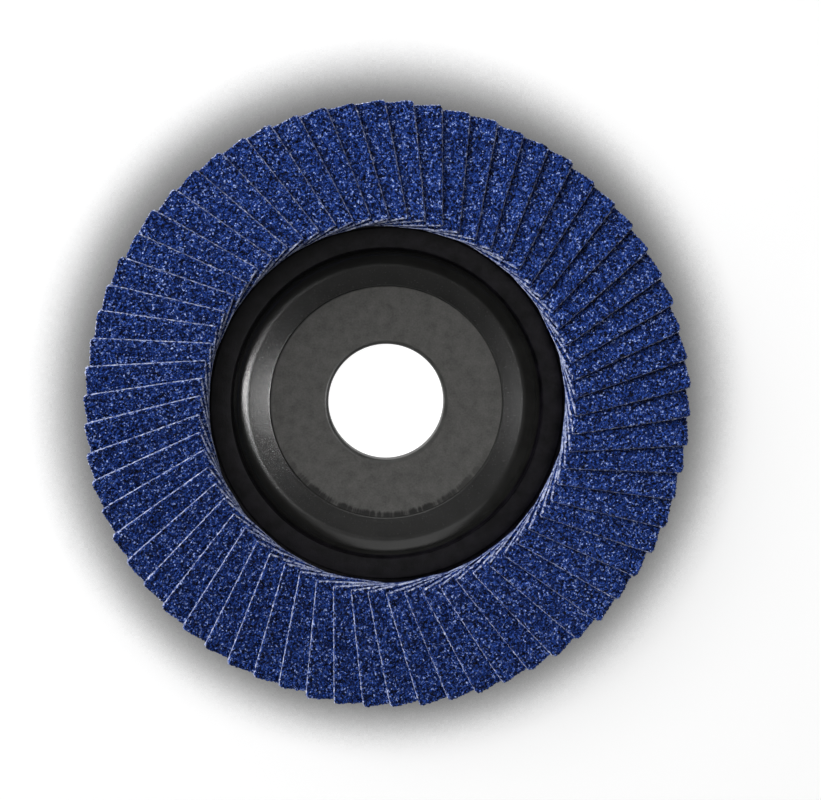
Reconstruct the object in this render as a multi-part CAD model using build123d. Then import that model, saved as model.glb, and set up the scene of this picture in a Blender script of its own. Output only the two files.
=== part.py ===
from build123d import *
import os
from math import asin, cos, degrees, radians, sin

# Flap disc for an angle grinder: overlapping flaps of abrasive cloth, set in a ring of adhesive on a moulded
# backing plate with a sunk hub. Millimetres. +Z is the bore's axis and points to the abrasive side, and z = 0 is
# the hub's rear seat, which the grinder's inner flange bears on. Clockwise is as seen from the abrasive side.

# Hub: the bore, and round it the sunk land that the clamping nut bears on.
bore_diameter = 22.23
bore_chamfer = 0.8  # on the abrasive side
hub_thickness = 4.2
land_width = 11.2
land_sink = 0.6  # how far the land lies below the dish's floor
land_edge_chamfer = 0.2

# Dish round the hub.
dish_floor_width = 3.8
dish_wall_round = 3.6
dish_lip = 0.5  # the upright part of the side wall, over its round
dish_lip_chamfer = 0.25
shelf_width = 4.0  # from the dish to the step down to the adhesive's seat

# Rear of the hub and rim.
hub_wall = 3.0  # between the dish's side wall and the hub's cone
hub_cone_angle = 38.0  # of the cone, from the plane of the disc
rear_seat_chamfer = 0.6
neck_round = 2.5
rim_thickness = 2.4  # at the rim's edge
rim_rear_rise = 0.7  # of the rear face, from the neck to the edge
rim_edge_chamfer = 0.5
seat_depth = 0.5  # of the adhesive's seat, below the shelf

# Flaps: flat oblongs lying across radial lines. Each is glued at its anticlockwise edge, rises towards its free
# clockwise edge, and rests on its clockwise neighbour.
flap_count = 66
flap_length = 22.7
flap_width = 18.0
flap_thickness = 0.95
flap_end_gap = 0.3  # between the shelf's step and the flaps' inner ends
flap_overhang = 2.7  # past the rim
flap_clearance = 0.05  # between neighbours, at their inner ends
free_edge_offset = 10.2  # between the axis and the line of a free edge
first_flap_angle = 2.9  # of its middle line, anticlockwise from +X

# Adhesive, with a saw-toothed top that fits the flaps' glued edges.
adhesive_bed = 0.35  # under the flaps' glued edges
adhesive_inner_setback = 0.6  # from the flaps' inner ends
adhesive_outer_setback = 0.8  # from the rim's edge
seat_headroom = 2.0  # of a flap's seat, cut clear through the adhesive above it

# Radii, worked out from the bore outwards.
bore_radius = bore_diameter / 2
land_radius = bore_radius + land_width
dish_floor_radius = land_radius + dish_floor_width
dish_radius = dish_floor_radius + dish_wall_round
shelf_radius = dish_radius + shelf_width
flap_inner_end = shelf_radius + flap_end_gap
rim_radius = flap_inner_end + flap_length - flap_overhang
adhesive_inner_radius = flap_inner_end + adhesive_inner_setback
adhesive_outer_radius = rim_radius - adhesive_outer_setback

# Heights, worked out from the rear seat forwards.
floor_z = hub_thickness + land_sink
shelf_z = floor_z + dish_wall_round + dish_lip
seat_z = shelf_z - seat_depth
rim_rear_z = seat_z - rim_thickness
neck_z = rim_rear_z - rim_rear_rise
glued_edge_z = seat_z + adhesive_bed

# Lie of the flaps. The tilt is the one that lets each flap just clear its neighbour at their inner ends.
pitch = 360 / flap_count
inner_spacing = flap_inner_end * sin(radians(pitch))
tilt = asin((flap_thickness + flap_clearance) / inner_spacing)
glued_edge_offset = flap_width * cos(tilt) - flap_thickness * sin(tilt) - free_edge_offset


def cone_radius(height):
    """Radius at this height of the hub's rear cone, which runs hub_wall outside the dish's round."""
    slope = radians(hub_cone_angle)
    round_z = floor_z + dish_wall_round
    run = dish_wall_round + hub_wall - (round_z - height) * cos(slope)
    return dish_floor_radius + run / sin(slope)


def turned(points, fillets=(), chamfers=()):
    """Ring turned from a section of (radius, height) points, with (point, size) pairs of eased corners."""
    section = make_face(Plane.XZ * Polyline(points, close=True))
    for ease, corners in ((fillet, fillets), (chamfer, chamfers)):
        for (radius, height), size in corners:
            corner = section.vertices().sort_by_distance((radius, 0, height))[0]
            section = ease(corner, size)
    return revolve(section, Axis.Z)


def backing_plate():
    """Moulded plate: hub, dish, shelf and the rim that carries the flaps."""
    bore_edge = (bore_radius, hub_thickness)
    rear_seat_edge = (cone_radius(0), 0)
    neck = (cone_radius(neck_z), neck_z)
    rim_rear_edge = (rim_radius, rim_rear_z)
    rim_front_edge = (rim_radius, seat_z)
    seat_step = [(shelf_radius, seat_z), (shelf_radius, shelf_z)]
    lip = (dish_radius, shelf_z)
    dish_foot = (dish_radius, floor_z)
    land_edge = (land_radius, floor_z)
    rear = [(bore_radius, 0), rear_seat_edge, neck, rim_rear_edge, rim_front_edge]
    front = [lip, dish_foot, land_edge, (land_radius, hub_thickness), bore_edge]
    fillets = [(neck, neck_round), (dish_foot, dish_wall_round)]
    chamfers = [
        (rear_seat_edge, rear_seat_chamfer),
        (rim_rear_edge, rim_edge_chamfer),
        (rim_front_edge, rim_edge_chamfer),
        (lip, dish_lip_chamfer),
        (land_edge, land_edge_chamfer),
        (bore_edge, bore_chamfer),
    ]
    return turned(rear + seat_step + front, fillets, chamfers)


def tilted_strip(width, thickness):
    """Strip as long as a flap, standing on the first flap's glued edge and rising clockwise."""
    up_slope = Vector(-cos(tilt), sin(tilt))
    outward = Vector(sin(tilt), cos(tilt))
    foot = Vector(glued_edge_offset, glued_edge_z)
    top = foot + outward * thickness
    corners = [foot, foot + up_slope * width, top + up_slope * width, top]
    inner_end = make_face(Plane.YZ.offset(flap_inner_end) * Polyline(corners, close=True))
    return Rot(Z=first_flap_angle) * extrude(inner_end, flap_length, dir=(1, 0, 0))


def round_the_disc(piece):
    """A copy of the piece at each flap's place, anticlockwise."""
    return [Rot(Z=pitch * place) * piece for place in range(flap_count)]


def adhesive_ring():
    """Cured adhesive between the rim and the flaps. Each flap's seat runs up to the next one's glued edge."""
    outer_spacing = (flap_inner_end + flap_length) * sin(radians(pitch))
    seat = tilted_strip(outer_spacing / cos(tilt) + flap_thickness, seat_headroom * flap_thickness)
    top_z = glued_edge_z + seat_headroom * flap_thickness * cos(tilt)
    section = [
        (adhesive_inner_radius, seat_z),
        (adhesive_outer_radius, seat_z),
        (adhesive_outer_radius, top_z),
        (adhesive_inner_radius, top_z),
    ]
    return turned(section) - round_the_disc(seat)


flaps = round_the_disc(tilted_strip(flap_width, flap_thickness))
nodes = {"backing_plate": backing_plate(), "adhesive_ring": adhesive_ring()}
for number, first in enumerate(range(0, flap_count, 2), start=1):
    nodes[f"flap_pair_{number:02d}"] = Compound(children=flaps[first:first + 2])

print(f"flaps tilted {degrees(tilt):.1f} degrees")
os.makedirs("parts", exist_ok=True)
for name, piece in nodes.items():
    export_step(piece, f"parts/{name}.step")
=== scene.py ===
import math
import random

import bpy
from mathutils import Matrix, Vector


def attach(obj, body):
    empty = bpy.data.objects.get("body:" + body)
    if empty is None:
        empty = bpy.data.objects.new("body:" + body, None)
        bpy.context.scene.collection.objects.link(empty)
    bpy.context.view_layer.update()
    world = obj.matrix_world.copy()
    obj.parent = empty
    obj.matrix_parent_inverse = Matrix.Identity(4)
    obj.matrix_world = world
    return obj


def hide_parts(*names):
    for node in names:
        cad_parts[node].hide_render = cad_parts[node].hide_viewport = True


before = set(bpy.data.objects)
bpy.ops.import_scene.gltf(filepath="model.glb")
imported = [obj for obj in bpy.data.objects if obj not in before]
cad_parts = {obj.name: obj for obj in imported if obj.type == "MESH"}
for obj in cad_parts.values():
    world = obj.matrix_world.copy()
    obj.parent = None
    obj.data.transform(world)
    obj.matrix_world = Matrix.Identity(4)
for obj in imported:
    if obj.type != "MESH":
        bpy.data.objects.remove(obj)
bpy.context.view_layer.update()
print("frame loaded:", len(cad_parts), "nodes")

mm = 0.001
same = 1e-6  # m, vertices this close together are one
random.seed(66)


def linear(code):
    # sRGB hex to the linear colour that a socket takes
    parts = [int(code[i:i + 2], 16) / 255 for i in (1, 3, 5)]
    return tuple(p / 12.92 if p <= 0.04045 else ((p + 0.055) / 1.055) ** 2.4 for p in parts) + (1.0,)


def addNode(tree, kind, settings=None, links=None):
    # one node with its settings and what is plugged into it
    node = tree.nodes.new("ShaderNode" + kind)
    for name, value in (settings or {}).items():
        if name == "stops":
            while len(node.color_ramp.elements) < len(value):
                node.color_ramp.elements.new(0.5)
            for element, (place, colour) in zip(node.color_ramp.elements, value):
                element.position = place
                element.color = colour if isinstance(colour, tuple) else (colour, colour, colour, 1)
        elif isinstance(name, int) or name in node.inputs:
            node.inputs[name].default_value = value
        else:
            setattr(node, name, value)
    for name, source in (links or {}).items():
        tree.links.new(source, node.inputs[name])
    return node


def newMaterial(name):
    # empty material, and the coordinates fixed to its object
    material = bpy.data.materials.new(name)
    material.use_nodes = True
    tree = material.node_tree
    tree.nodes.clear()
    place = addNode(tree, "TexCoord").outputs["Object"]
    return material, tree, place


def output(tree, shader):
    addNode(tree, "OutputMaterial", links={"Surface": shader.outputs[0]})


def deselectAll():
    bpy.ops.object.select_all(action="DESELECT")


def pick(piece):
    # makes this the one selected and active object
    deselectAll()
    piece.select_set(True)
    bpy.context.view_layer.objects.active = piece


def editPick(piece, wanted, kind="EDGE"):
    # selects the vertices or edges that a test on their middle accepts, and opens edit mode
    mesh = piece.data
    for group in (mesh.vertices, mesh.edges, mesh.polygons):
        for item in group:
            item.select = False
    for item in (mesh.vertices if kind == "VERT" else mesh.edges):
        if kind == "VERT":
            middle = item.co
        else:
            middle = (mesh.vertices[item.vertices[0]].co + mesh.vertices[item.vertices[1]].co) / 2
        item.select = bool(wanted(item, middle))
    pick(piece)
    bpy.ops.object.mode_set(mode="EDIT")
    bpy.ops.mesh.select_mode(type=kind)


# moulded glass-filled nylon, spark-eroded where the nut bears: matte, mottled dark grey, with a jagged
# painted shade in the corner by its edge, on its lower side only
def landNylon():
    material, tree, place = newMaterial("nylonSparkEroded")
    blotch = addNode(tree, "TexNoise", {"Scale": 1 / (2.2 * mm), "Detail": 5.0, "Roughness": 0.65},
                     {"Vector": place})
    grain = addNode(tree, "TexNoise", {"Scale": 1 / (0.35 * mm), "Detail": 2.0}, {"Vector": place})
    both = addNode(tree, "Mix", {"Factor": 0.35}, {"A": blotch.outputs["Fac"], "B": grain.outputs["Fac"]})
    colour = addNode(tree, "ValToRGB", {"stops": [(0.3, linear("#363634")), (0.7, linear("#51504e"))]},
                     {"Fac": both.outputs["Result"]})
    polar = addNode(tree, "TexGradient", {"gradient_type": "RADIAL"}, {"Vector": place})
    reach = addNode(tree, "VectorMath", {"operation": "LENGTH"}, {0: place})
    corner = addNode(tree, "MapRange", {"From Min": 21.2 * mm, "From Max": 22.1 * mm},
                     {"Value": reach.outputs["Value"]})
    # teeth of painted shade, drawn on the angle alone so that they point inwards
    around = addNode(tree, "CombineXYZ", links={"X": polar.outputs["Fac"]})
    teeth = addNode(tree, "TexNoise", {"Scale": 60.0, "Detail": 6.0, "Roughness": 0.75},
                    {"Vector": around.outputs["Vector"]})
    jagged = addNode(tree, "MapRange", {"From Min": 0.36, "From Max": 0.6},
                     {"Value": teeth.outputs["Fac"]})
    filled = addNode(tree, "Math", {"operation": "MULTIPLY"},
                     {0: corner.outputs[0], 1: jagged.outputs[0]})
    paintedFootShade = addNode(tree, "MapRange", {"From Min": 0.2, "From Max": 0.55, "To Max": 0.92},
                   {"Value": filled.outputs[0]})
    # the painted shade lies only on the side towards -Y, from about 200° to 340° round the axis
    side = addNode(tree, "ValToRGB", {"stops": [
        (0.06, 0.0), (0.14, 1.0), (0.3, 1.0), (0.36, 0.8), (0.44, 0.0)]}, {"Fac": polar.outputs["Fac"]})
    dark = addNode(tree, "Math", {"operation": "MULTIPLY"},
                   {0: paintedFootShade.outputs[0], 1: side.outputs["Color"]})
    # the painted shade's colour, mixed over the land's own mottled grey
    footShaded = addNode(tree, "Mix", {"data_type": "RGBA", "B": linear("#080807")},
                   {"Factor": dark.outputs[0], "A": colour.outputs["Color"]})
    bump = addNode(tree, "Bump", {"Strength": 0.35, "Distance": 0.05 * mm},
                   {"Height": grain.outputs["Fac"]})
    shader = addNode(tree, "BsdfPrincipled", {"Roughness": 0.72, "Specular IOR Level": 0.3},
                     {"Base Color": footShaded.outputs["Result"], "Normal": bump.outputs["Normal"]})
    output(tree, shader)
    return material


# the same nylon off smoother parts of the mould: near black, satin, with a fine pitted grain that
# breaks up its highlights
def satinNylon(name, dark, light, rough, level, pits, turned):
    material, tree, place = newMaterial(name)
    cloud = addNode(tree, "TexNoise", {"Scale": 1 / (3.0 * mm), "Detail": 5.0, "Roughness": 0.6},
                    {"Vector": place})
    colour = addNode(tree, "ValToRGB", {"stops": [(0.35, linear(dark)), (0.65, linear(light))]},
                     {"Fac": cloud.outputs["Fac"]})
    grain = addNode(tree, "TexNoise", {"Scale": 1 / (0.4 * mm), "Detail": 4.0, "Roughness": 0.7},
                    {"Vector": place})
    bump = addNode(tree, "Bump", {"Strength": pits, "Distance": 0.06 * mm},
                   {"Height": grain.outputs["Fac"]})
    gloss = addNode(tree, "MapRange", {"From Min": 0.3, "From Max": 0.7, "To Min": rough - 0.05,
                                       "To Max": rough + 0.07}, {"Value": grain.outputs["Fac"]})
    shader = addNode(tree, "BsdfPrincipled", {"Specular IOR Level": level, "Anisotropic": turned},
                     {"Base Color": colour.outputs["Color"], "Roughness": gloss.outputs["Result"],
                      "Normal": bump.outputs["Normal"]})
    if turned:  # its mould was turned on a lathe, so a highlight fans out from the middle
        tree.links.new(place, shader.inputs["Tangent"])
    output(tree, shader)
    return material


# zirconia-alumina grit in blue resin: angular grains of uneven tone, the palest painted as glints, the
# darkest partly painted shade
def gritZirconia():
    material, tree, place = newMaterial("zirconiaGrit")
    grains = addNode(tree, "TexVoronoi", {"Scale": 1 / (0.36 * mm), "Randomness": 1.0}, {"Vector": place})
    fine = addNode(tree, "TexVoronoi", {"Scale": 1 / (0.24 * mm), "Randomness": 1.0}, {"Vector": place})
    tone = addNode(tree, "SeparateColor", links={"Color": grains.outputs["Color"]})
    fineTone = addNode(tree, "SeparateColor", links={"Color": fine.outputs["Color"]})
    mixed = addNode(tree, "Mix", {"Factor": 0.45},
                    {"A": tone.outputs["Red"], "B": fineTone.outputs["Green"]})
    # the top stop is a painted glint and the bottom stop partly painted shade; the stops between are the
    # grains' own tones
    colour = addNode(tree, "ValToRGB", {"stops": [
        (0.25, linear("#02040f")), (0.39, linear("#0c1d4e")), (0.63, linear("#1a3986")),
        (0.79, linear("#3a5bac")), (0.92, linear("#a4b5e2"))]}, {"Fac": mixed.outputs["Result"]})
    height = addNode(tree, "Math", {"operation": "ADD"},
                     {0: grains.outputs["Distance"], 1: fine.outputs["Distance"]})
    bump = addNode(tree, "Bump", {"Strength": 0.8, "Distance": 0.12 * mm, "invert": True},
                   {"Height": height.outputs["Value"]})
    rough = addNode(tree, "MapRange", {"To Min": 0.3, "To Max": 0.75}, {"Value": fineTone.outputs["Red"]})
    shader = addNode(tree, "BsdfPrincipled", {"Specular IOR Level": 0.1},
                     {"Base Color": colour.outputs["Color"], "Roughness": rough.outputs["Result"],
                      "Normal": bump.outputs["Normal"]})
    output(tree, shader)
    return material


# cut edge of the polycotton backing: pale, dull ends of threads with a little blue resin between
def cutThreads():
    material, tree, place = newMaterial("polycottonCutEdge")
    knots = addNode(tree, "TexNoise", {"Scale": 1 / (0.7 * mm), "Detail": 3.0, "Roughness": 0.65},
                    {"Vector": place})
    colour = addNode(tree, "ValToRGB", {"stops": [
        (0.38, linear("#1f2d60")), (0.48, linear("#8591bb")), (0.62, linear("#c0c6de"))]},
        {"Fac": knots.outputs["Fac"]})
    bump = addNode(tree, "Bump", {"Strength": 0.5, "Distance": 0.08 * mm},
                   {"Height": knots.outputs["Fac"]})
    shader = addNode(tree, "BsdfPrincipled", {"Roughness": 0.9, "Specular IOR Level": 0.2},
                     {"Base Color": colour.outputs["Color"], "Normal": bump.outputs["Normal"]})
    output(tree, shader)
    return material


# back of the polycotton twill, sized with tinted resin: dull grey-blue, with its threads drawn 0.9 mm
# apart, about twice as far as real ones, so that they show
def clothBack():
    material, tree, place = newMaterial("polycottonBack")
    # a wave repeats after 0.314 of the length in its scale
    thread = {"wave_type": "BANDS", "Scale": 1 / (2.8 * mm), "Distortion": 1.0, "Detail": 2.0}
    warp = addNode(tree, "TexWave", {**thread, "bands_direction": "X"}, {"Vector": place})
    weft = addNode(tree, "TexWave", {**thread, "bands_direction": "Y"}, {"Vector": place})
    weave = addNode(tree, "Math", {"operation": "MULTIPLY"},
                    {0: warp.outputs["Fac"], 1: weft.outputs["Fac"]})
    colour = addNode(tree, "ValToRGB", {"stops": [(0.0, linear("#56618a")), (1.0, linear("#8b95b8"))]},
                     {"Fac": weave.outputs["Value"]})
    bump = addNode(tree, "Bump", {"Strength": 0.5, "Distance": 0.08 * mm},
                   {"Height": weave.outputs["Value"]})
    shader = addNode(tree, "BsdfPrincipled", {"Roughness": 0.85, "Specular IOR Level": 0.2},
                     {"Base Color": colour.outputs["Color"], "Normal": bump.outputs["Normal"]})
    output(tree, shader)
    return material


# cured epoxy with mineral filler: dark grey, semi-gloss, lumpy where it was squeezed out
def curedEpoxy():
    material, tree, place = newMaterial("epoxyCured")
    lumps = addNode(tree, "TexNoise", {"Scale": 1 / (1.5 * mm), "Detail": 4.0}, {"Vector": place})
    colour = addNode(tree, "ValToRGB", {"stops": [(0.3, linear("#2a2926")), (0.7, linear("#3c3a35"))]},
                     {"Fac": lumps.outputs["Fac"]})
    bump = addNode(tree, "Bump", {"Strength": 0.6, "Distance": 0.2 * mm},
                   {"Height": lumps.outputs["Fac"]})
    shader = addNode(tree, "BsdfPrincipled", {"Roughness": 0.4},
                     {"Base Color": colour.outputs["Color"], "Normal": bump.outputs["Normal"]})
    output(tree, shader)
    return material


print("materials defined")


# backing plate: a section drawn vertex by vertex, its corners rounded, then spun
plate = {
    "section": [  # radius and height of each corner in mm, and the round on it: reach and segments
        (11.115, 0.0, 0.3, 2), (26.084, 0.0, 0.8, 4), (32.868, 5.3, 1.6, 6), (54.015, 6.0, 0.6, 4),
        (54.015, 8.4, 0.4, 3), (33.715, 8.4, 0.1, 1), (33.715, 8.9, 0.25, 3), (29.715, 8.9, 0.35, 4),
        (29.715, 5.04, 3.45, 20), (22.315, 4.65, 0.3, 6), (22.315, 4.2, 0.12, 2), (11.115, 4.2, 0.8, 6)],
    "steps": 288, "smoothAngle": 35,
    # where each finish ends, from the bore outwards, and the height and slope that part front from rear
    "boreReach": 11.9, "landReach": 22.25, "landEdge": 22.66, "floorReach": 26.1, "dishReach": 29.3,
    "frontHeight": 3.3, "frontSlope": -0.05,
    "satins": [  # name, dark and light colour, roughness, specular level, pits, how far turned
        ("nylonDish", "#0e0e0d", "#161615", 0.19, 0.5, 0.4, 0.0),
        ("nylonShelf", "#020203", "#131116", 0.55, 0.12, 0.8, 0.0),
        ("nylonRear", "#2b2b2a", "#3d3d3b", 0.55, 0.4, 0.5, 0.0),
        ("nylonEdge", "#242423", "#2e2e2d", 0.2, 0.5, 0.15, 0.0),
        ("nylonTurned", "#0e0e0d", "#171716", 0.22, 0.5, 0.45, 0.9),
        ("nylonChamfer", "#2e2e2c", "#40403e", 0.38, 0.4, 0.3, 0.0)],
}


def plateFinish(face):
    # name of the finish that a face of the plate takes
    reach = math.hypot(face.center.x, face.center.y) / mm
    if face.center.z / mm < plate["frontHeight"] or face.normal.z < plate["frontSlope"]:
        return "nylonRear"
    if plate["landReach"] < reach < plate["landEdge"]:
        return "nylonEdge"
    for limit, name in (("boreReach", "nylonChamfer"), ("landReach", "nylonSparkEroded"),
                        ("floorReach", "nylonTurned"), ("dishReach", "nylonDish")):
        if reach < plate[limit]:
            return name
    return "nylonShelf"


def makePlate():
    deselectAll()
    bpy.ops.mesh.primitive_plane_add(size=1 * mm)
    piece = bpy.context.object
    piece.name = piece.data.name = "backingPlate"
    section = plate["section"]
    bpy.ops.object.mode_set(mode="EDIT")
    bpy.ops.mesh.merge(type="CENTER")
    bpy.ops.transform.translate(value=(section[0][0] * mm, 0, section[0][1] * mm))
    for before, after in zip(section, section[1:]):
        step = ((after[0] - before[0]) * mm, 0, (after[1] - before[1]) * mm)
        bpy.ops.mesh.extrude_vertices_move(TRANSFORM_OT_translate={"value": step})
    bpy.ops.mesh.select_all(action="SELECT")
    bpy.ops.object.mode_set(mode="OBJECT")
    corners = [Vector((row[0] * mm, 0, row[1] * mm)) for row in section]
    ends = [min(piece.data.vertices, key=lambda item: (item.co - corner).length).index
            for corner in (corners[0], corners[-1])]
    editPick(piece, lambda item, middle: item.index in ends, "VERT")
    bpy.ops.mesh.edge_face_add()  # closes the section along the bore
    bpy.ops.object.mode_set(mode="OBJECT")
    for corner, row in zip(corners, section):
        reach, segments = row[2:]
        editPick(piece, lambda item, middle: (middle - corner).length < same, "VERT")
        bpy.ops.mesh.bevel(affect="VERTICES", offset=reach * mm, segments=segments, profile=0.5)
        bpy.ops.object.mode_set(mode="OBJECT")
    editPick(piece, lambda item, middle: True, "VERT")
    bpy.ops.mesh.spin(steps=plate["steps"], angle=2 * math.pi, center=(0, 0, 0), axis=(0, 0, 1))
    bpy.ops.mesh.select_all(action="SELECT")
    bpy.ops.mesh.remove_doubles(threshold=same)
    bpy.ops.mesh.normals_make_consistent(inside=False)
    bpy.ops.object.mode_set(mode="OBJECT")
    bpy.ops.object.shade_smooth_by_angle(angle=math.radians(plate["smoothAngle"]))
    for material in [landNylon()] + [satinNylon(*satin) for satin in plate["satins"]]:
        piece.data.materials.append(material)
    for face in piece.data.polygons:
        face.material_index = piece.data.materials.find(plateFinish(face))
    return piece


backingPlate = makePlate()
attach(backingPlate, "root")
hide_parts("backing_plate")
print("backing plate turned:", len(backingPlate.data.polygons), "faces")


# adhesive: the CAD ring with its own finish
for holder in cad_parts["adhesive_ring"].material_slots:
    holder.material = curedEpoxy()


# flaps: one modelled flat, then copied round, each roughened at its own place
flap = {
    "count": 66, "length": 22.7, "width": 18.0, "thickness": 0.95,
    "shown": 6.3, "cell": 0.19,  # the width that the neighbour leaves bare, with some to spare, and its grid
    # how far out it starts, where its glued edge lies and how it tilts, as the solids do
    "innerEnd": 34.015, "gluedOffset": 6.624, "gluedHeight": 8.75, "tilt": 18.016, "firstAngle": 2.9,
    "layers": [0.16, 0.19, 0.2, 0.2, 0.2],  # the cut side downwards: grit and resin, then cloth
    "clothTop": 0.6, "bareEnd": 0.08, "bareReach": 0.06, "outerRound": 0.8, "innerRound": 0.4,
    "gritSize": 0.4, "gritDepth": 0.5,
    "fraySize": 0.35, "frayReach": 0.4, "fraySpread": (0.6, 1.4),
    # how much the threads stand out: along the cut side, at its foot, and at the outer and inner ends
    "fraySide": 1.0, "frayFoot": 0.4, "frayOuter": 0.1, "frayInner": 0.25,
    "raggedReach": 0.7, "raggedBand": 1.0, "gluedBand": 0.1,
    "turnSpread": 0.15, "reachSpread": 0.22,  # how far each lies from its even place, in degrees and mm
    "slack": 0.01, "underSlope": -0.9,  # what counts as level with an edge, in mm, and as facing down
}


def roundCorner(piece, corner, inward, reach):
    # draws a square corner of the grid in to a quarter circle
    middle = corner + inward * reach
    for vertex in piece.data.vertices:
        along = (vertex.co.x - middle.x) * -inward.x
        across = (vertex.co.y - middle.y) * -inward.y
        if along > 0 and across > 0:
            pull = max(along, across) / math.hypot(along, across)
            vertex.co.x = middle.x - inward.x * along * pull
            vertex.co.y = middle.y - inward.y * across * pull


def modelFlap():
    deselectAll()
    length, width, shown = flap["length"] * mm, flap["width"] * mm, flap["shown"] * mm
    cellsAlong = round(flap["length"] / flap["cell"])
    bpy.ops.mesh.primitive_grid_add(
        x_subdivisions=cellsAlong, y_subdivisions=round(flap["shown"] / flap["cell"]), size=1,
        location=(flap["innerEnd"] * mm + length / 2, shown / 2 - width, flap["thickness"] * mm))
    piece = bpy.context.object
    piece.name = piece.data.name = "flapModel"
    piece.scale = (length, shown, 1)
    bpy.ops.object.transform_apply(location=True, rotation=True, scale=True)
    firstRow = flap["innerEnd"] * mm + length / cellsAlong
    editPick(piece, lambda item, middle: abs(middle.x - firstRow) < same, "VERT")
    bpy.ops.transform.translate(value=((flap["innerEnd"] + flap["bareEnd"]) * mm - firstRow, 0, 0))
    bpy.ops.object.mode_set(mode="OBJECT")
    free = -width
    outer = Vector(((flap["innerEnd"] + flap["length"]) * mm, free, 0))
    inner = Vector((flap["innerEnd"] * mm, free, 0))
    roundCorner(piece, outer, Vector((-1, 1, 0)), flap["outerRound"] * mm)
    roundCorner(piece, inner, Vector((1, 1, 0)), flap["innerRound"] * mm)
    covered = shown - width
    editPick(piece, lambda item, middle: abs(middle.y - covered) < same)
    bpy.ops.mesh.extrude_edges_move(TRANSFORM_OT_translate={"value": (0, -covered, 0)})
    bpy.ops.mesh.select_all(action="SELECT")
    bpy.ops.mesh.region_to_loop()
    for layer in flap["layers"]:
        bpy.ops.mesh.extrude_edges_move(TRANSFORM_OT_translate={"value": (0, 0, -layer * mm)})
    bpy.ops.mesh.edge_face_add()
    bpy.ops.mesh.select_all(action="SELECT")
    bpy.ops.mesh.normals_make_consistent(inside=False)
    bpy.ops.object.mode_set(mode="OBJECT")
    for material in (gritZirconia(), cutThreads(), clothBack()):
        piece.data.materials.append(material)
    innerEnd, outerEnd = flap["innerEnd"], flap["innerEnd"] + flap["length"]
    for face in piece.data.polygons:
        if face.center.x < (innerEnd + flap["bareReach"]) * mm:
            bare = face.center.z > flap["clothTop"] * mm  # resin has run down over the threads below
        else:
            bare = face.center.z < flap["clothTop"] * mm
        if face.normal.z < flap["underSlope"]:
            face.material_index = 2
        elif bare:
            face.material_index = 1
    groups = {name: piece.vertex_groups.new(name=name) for name in ("grit", "fray", "end")}
    slack = flap["slack"]
    for vertex in piece.data.vertices:
        reach, back, height = vertex.co / mm
        if back > -flap["gluedBand"]:
            continue
        side = height < flap["thickness"] - slack or back < slack - flap["width"]
        side = side or not innerEnd + slack < reach < outerEnd - slack
        outer = side and reach > outerEnd - flap["outerRound"] - flap["raggedBand"]
        if outer:
            groups["end"].add([vertex.index], 1.0, "REPLACE")
        if height > flap["clothTop"] + slack:
            groups["grit"].add([vertex.index], 1.0, "REPLACE")
        elif outer:
            groups["fray"].add([vertex.index], flap["frayOuter"], "REPLACE")
        elif reach < innerEnd + slack:
            groups["fray"].add([vertex.index], flap["frayInner"], "REPLACE")
        elif height > slack:
            groups["fray"].add([vertex.index], flap["fraySide"], "REPLACE")
        else:
            groups["fray"].add([vertex.index], flap["frayFoot"], "REPLACE")
    return piece


def roughen(piece, grains, knots):
    # sinks the gaps between the grains, lets the cut threads stand out and makes the outer end ragged
    frayed = flap["frayReach"] * random.uniform(*flap["fraySpread"])
    for name, texture, group, reach, middle in (
            ("grains", grains, "grit", -flap["gritDepth"], 0.0),
            ("threads", knots, "fray", frayed, 0.25),
            ("raggedEnd", knots, "end", flap["raggedReach"], 0.5)):
        displace = piece.modifiers.new(name, "DISPLACE")
        displace.texture = texture
        displace.texture_coords = "GLOBAL"
        displace.vertex_group = group
        displace.strength = reach * mm
        displace.mid_level = middle


def layFlaps():
    model = modelFlap()
    grains = bpy.data.textures.new("grains", "VORONOI")
    grains.noise_scale = flap["gritSize"] * mm
    knots = bpy.data.textures.new("knots", "CLOUDS")
    knots.noise_scale = flap["fraySize"] * mm
    glued = Matrix.Translation((0, flap["gluedOffset"] * mm, flap["gluedHeight"] * mm))
    lean = glued @ Matrix.Rotation(-math.radians(flap["tilt"]), 4, "X")
    pieces = []
    for number in range(flap["count"]):
        angle = flap["firstAngle"] + 360 / flap["count"] * number
        angle += random.uniform(-1, 1) * flap["turnSpread"]
        slide = random.uniform(-1, 1) * flap["reachSpread"] * mm
        piece = model.copy()
        piece.data = model.data.copy()
        piece.name = piece.data.name = f"flap{number + 1:02d}"
        bpy.context.collection.objects.link(piece)
        turn = Matrix.Rotation(math.radians(angle), 4, "Z")
        piece.matrix_world = turn @ Matrix.Translation((slide, 0, 0)) @ lean
        roughen(piece, grains, knots)
        pieces.append(piece)
    bpy.data.objects.remove(model)
    deselectAll()
    for piece in pieces:
        piece.select_set(True)
    bpy.context.view_layer.objects.active = pieces[0]
    bpy.ops.object.convert(target="MESH")
    bpy.ops.object.transform_apply(location=True, rotation=True, scale=True)
    return pieces


flaps = layFlaps()
for number, piece in enumerate(flaps):
    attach(piece, "root")
    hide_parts(f"flap_pair_{number // 2 + 1:02d}")
triangles = sum(len(face.vertices) - 2 for face in flaps[0].data.polygons)
print("flaps laid:", len(flaps), "of", triangles, "triangles")


# floor, world, lamps and camera
sheet = {
    "radius": 12000.0, "sides": 96, "drop": 0.05,  # mm, like all the lengths here
    "shadeReach": 20.0, "boredReach": 12.0,  # how far the soft shadow and the white under the bore go
    "glowFrom": 120.0, "glowTo": 900.0,
}


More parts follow.
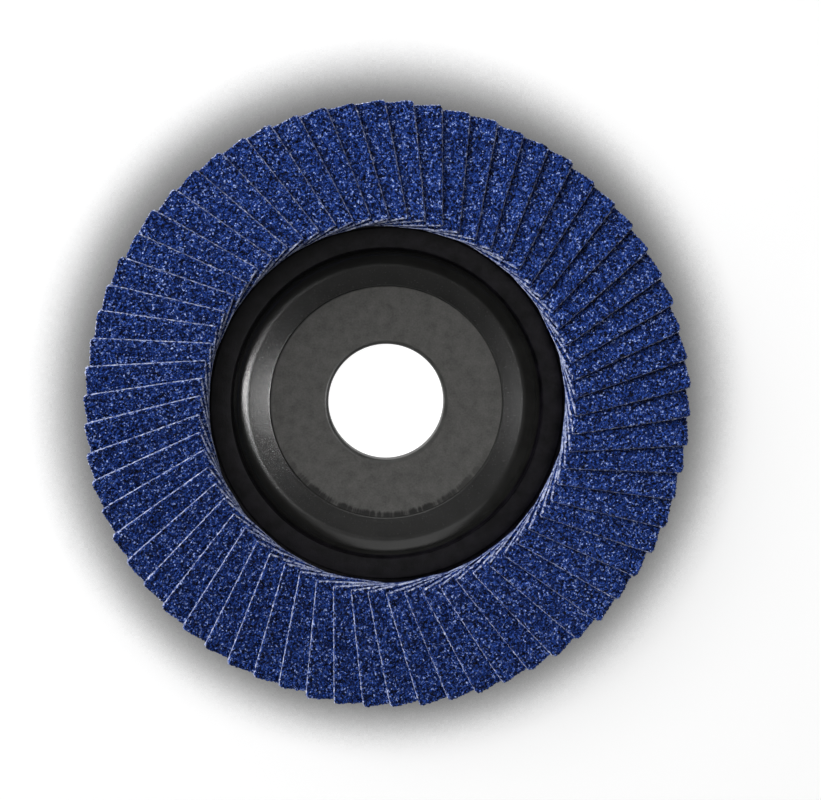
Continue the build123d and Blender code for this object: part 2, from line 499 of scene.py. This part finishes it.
def makeFloor():
    deselectAll()
    bpy.ops.mesh.primitive_circle_add(vertices=sheet["sides"], radius=sheet["radius"] * mm,
                                      fill_type="NGON", location=(0, 0, -sheet["drop"] * mm))
    floor = bpy.context.object
    floor.name = "floor"
    bpy.ops.object.transform_apply(location=True, rotation=True, scale=True)
    # matt paper, seen as an even white glow, with a painted soft grey shadow round what lies on it, drawn
    # from ambient occlusion
    material, tree, place = newMaterial("paperSweep")
    far = addNode(tree, "VectorMath", {"operation": "LENGTH"}, {0: place})
    # the painted shadow: the nearer the disc, the darker the paper's glow and colour
    near = addNode(tree, "AmbientOcclusion", {"Distance": sheet["shadeReach"] * mm, "samples": 16})
    halo = addNode(tree, "ValToRGB", {"stops": [
        (0.55, 0.16), (0.69, 0.29), (0.74, 0.39), (0.78, 0.51), (0.82, 0.64), (0.86, 0.86), (0.91, 1.0)]},
        {"Fac": near.outputs["AO"]})
    bored = addNode(tree, "Math", {"operation": "LESS_THAN", 1: sheet["boredReach"] * mm},
                    {0: far.outputs["Value"]})
    shade = addNode(tree, "Math", {"operation": "MAXIMUM"},
                    {0: halo.outputs["Color"], 1: bored.outputs[0]})
    glow = addNode(tree, "MapRange", {"From Min": sheet["glowFrom"] * mm,
                                      "From Max": sheet["glowTo"] * mm, "To Min": 0.75, "To Max": 1.0},
                   {"Value": far.outputs["Value"]})
    plain = addNode(tree, "Math", {"operation": "MAXIMUM"}, {0: glow.outputs[0], 1: bored.outputs[0]})
    strength = addNode(tree, "Math", {"operation": "MULTIPLY"},
                       {0: plain.outputs[0], 1: shade.outputs[0]})
    lit = addNode(tree, "Emission", {"Color": (1, 1, 1, 1)}, {"Strength": strength.outputs[0]})
    tint = addNode(tree, "Math", {"operation": "MULTIPLY", 1: 0.3}, {0: shade.outputs[0]})
    dim = addNode(tree, "BsdfDiffuse", links={"Color": tint.outputs[0]})
    shown = addNode(tree, "AddShader", links={0: lit.outputs[0], 1: dim.outputs[0]})
    paper = addNode(tree, "BsdfDiffuse", {"Color": linear("#f4f4f4")})
    path = addNode(tree, "LightPath")
    seen = addNode(tree, "Math", {"operation": "MAXIMUM"},
                   {0: path.outputs["Is Camera Ray"], 1: path.outputs["Is Glossy Ray"]})
    seenToo = addNode(tree, "Math", {"operation": "MAXIMUM"},
                      {0: seen.outputs[0], 1: path.outputs["Is Transmission Ray"]})
    both = addNode(tree, "MixShader", links={
        "Fac": seenToo.outputs[0], 1: paper.outputs[0], 2: shown.outputs[0]})
    clear = addNode(tree, "BsdfTransparent")
    under = addNode(tree, "NewGeometry")  # from below the floor isn't there, and light gets up past it
    letThrough = addNode(tree, "Math", {"operation": "MAXIMUM"},
                         {0: under.outputs["Backfacing"], 1: path.outputs["Is Shadow Ray"]})
    oneSided = addNode(tree, "MixShader", links={
        "Fac": letThrough.outputs[0], 1: both.outputs[0], 2: clear.outputs[0]})
    output(tree, oneSided)
    floor.data.materials.append(material)


def makeWorld():
    world = bpy.data.worlds.new("studio")
    bpy.context.scene.world = world
    world.use_nodes = True
    tree = world.node_tree
    tree.nodes.clear()
    aim = addNode(tree, "TexCoord")
    split = addNode(tree, "SeparateXYZ", links={"Vector": aim.outputs["Generated"]})
    sky = addNode(tree, "ValToRGB", {"stops": [(0.0, 0.95), (0.1, 0.9), (0.15, 0.08), (1.0, 0.05)]},
                  {"Fac": split.outputs["Z"]})
    light = addNode(tree, "Background", {"Strength": 1.0}, {"Color": sky.outputs["Color"]})
    addNode(tree, "OutputWorld", links={"Surface": light.outputs[0]})


# azimuth and elevation in degrees, distance, width and height in m, power in W, and what the lamp lights
lamps = {
    "topKey": (125, 52, 0.8, 0.8, 0.8, 5.4, "matte"),
    "leftFill": (155, 38, 0.8, 0.5, 0.5, 3.8, "matte"),
    "topPanel": (95, 42, 0.8, 0.6, 0.9, 1.9, "gloss"),
    "overheadPanel": (90, 84, 1.0, 0.6, 0.6, 0.42, "gloss"),
    "rightStrip": (-13, 57, 0.7, 0.05, 0.45, 3.2, "gloss"),
}
lampTarget = (0.0, 0.0, 12.0)  # mm, what they all aim at


def aimed(position, target, upwards):
    # places something that looks at the target with this side up
    back = (position - target).normalized()
    side = upwards.cross(back).normalized()
    turn = Matrix((side, back.cross(side), back)).transposed().to_4x4()
    return Matrix.Translation(position) @ turn


def makeLamps():
    target = Vector(lampTarget) * mm
    for name, (azimuth, elevation, distance, width, height, power, lights) in lamps.items():
        turn, rise = math.radians(azimuth), math.radians(elevation)
        flat = Vector((math.cos(turn), math.sin(turn), 0)) * math.cos(rise)
        outwards = flat + Vector((0, 0, math.sin(rise)))
        position = target + distance * outwards
        data = bpy.data.lights.new(name, "AREA")
        data.shape = "RECTANGLE"
        data.size = width
        data.size_y = height
        data.energy = power
        lamp = bpy.data.objects.new(name, data)
        bpy.context.collection.objects.link(lamp)
        lamp.visible_glossy = lights == "gloss"
        lamp.visible_diffuse = lights == "matte"
        lamp.matrix_world = aimed(position, target, Vector((0, 0, 1)))


camera = {
    "target": (4.32, 1.12, 14.0), "distance": 600.0, "towardTop": 4.5, "towardLeft": 2.0,
    "focal": 138.93, "sensor": 36.0, "clipStart": 0.01, "clipEnd": 50.0,
}


def makeCamera():
    target = Vector(camera["target"]) * mm
    rise, drift = math.radians(camera["towardTop"]), math.radians(camera["towardLeft"])
    offset = Vector((-math.sin(drift), math.sin(rise), math.cos(rise))) * camera["distance"] * mm
    data = bpy.data.cameras.new("camera")
    data.lens = camera["focal"]
    data.sensor_width = camera["sensor"]
    data.sensor_fit = "HORIZONTAL"
    data.clip_start = camera["clipStart"]
    data.clip_end = camera["clipEnd"]
    viewer = bpy.data.objects.new("camera", data)
    bpy.context.collection.objects.link(viewer)
    viewer.matrix_world = aimed(target + offset, target, Vector((0, 1, 0)))
    bpy.context.scene.camera = viewer


makeFloor()
makeWorld()
makeLamps()
makeCamera()
bpy.context.scene.view_settings.view_transform = "Standard"
print("stage lit")
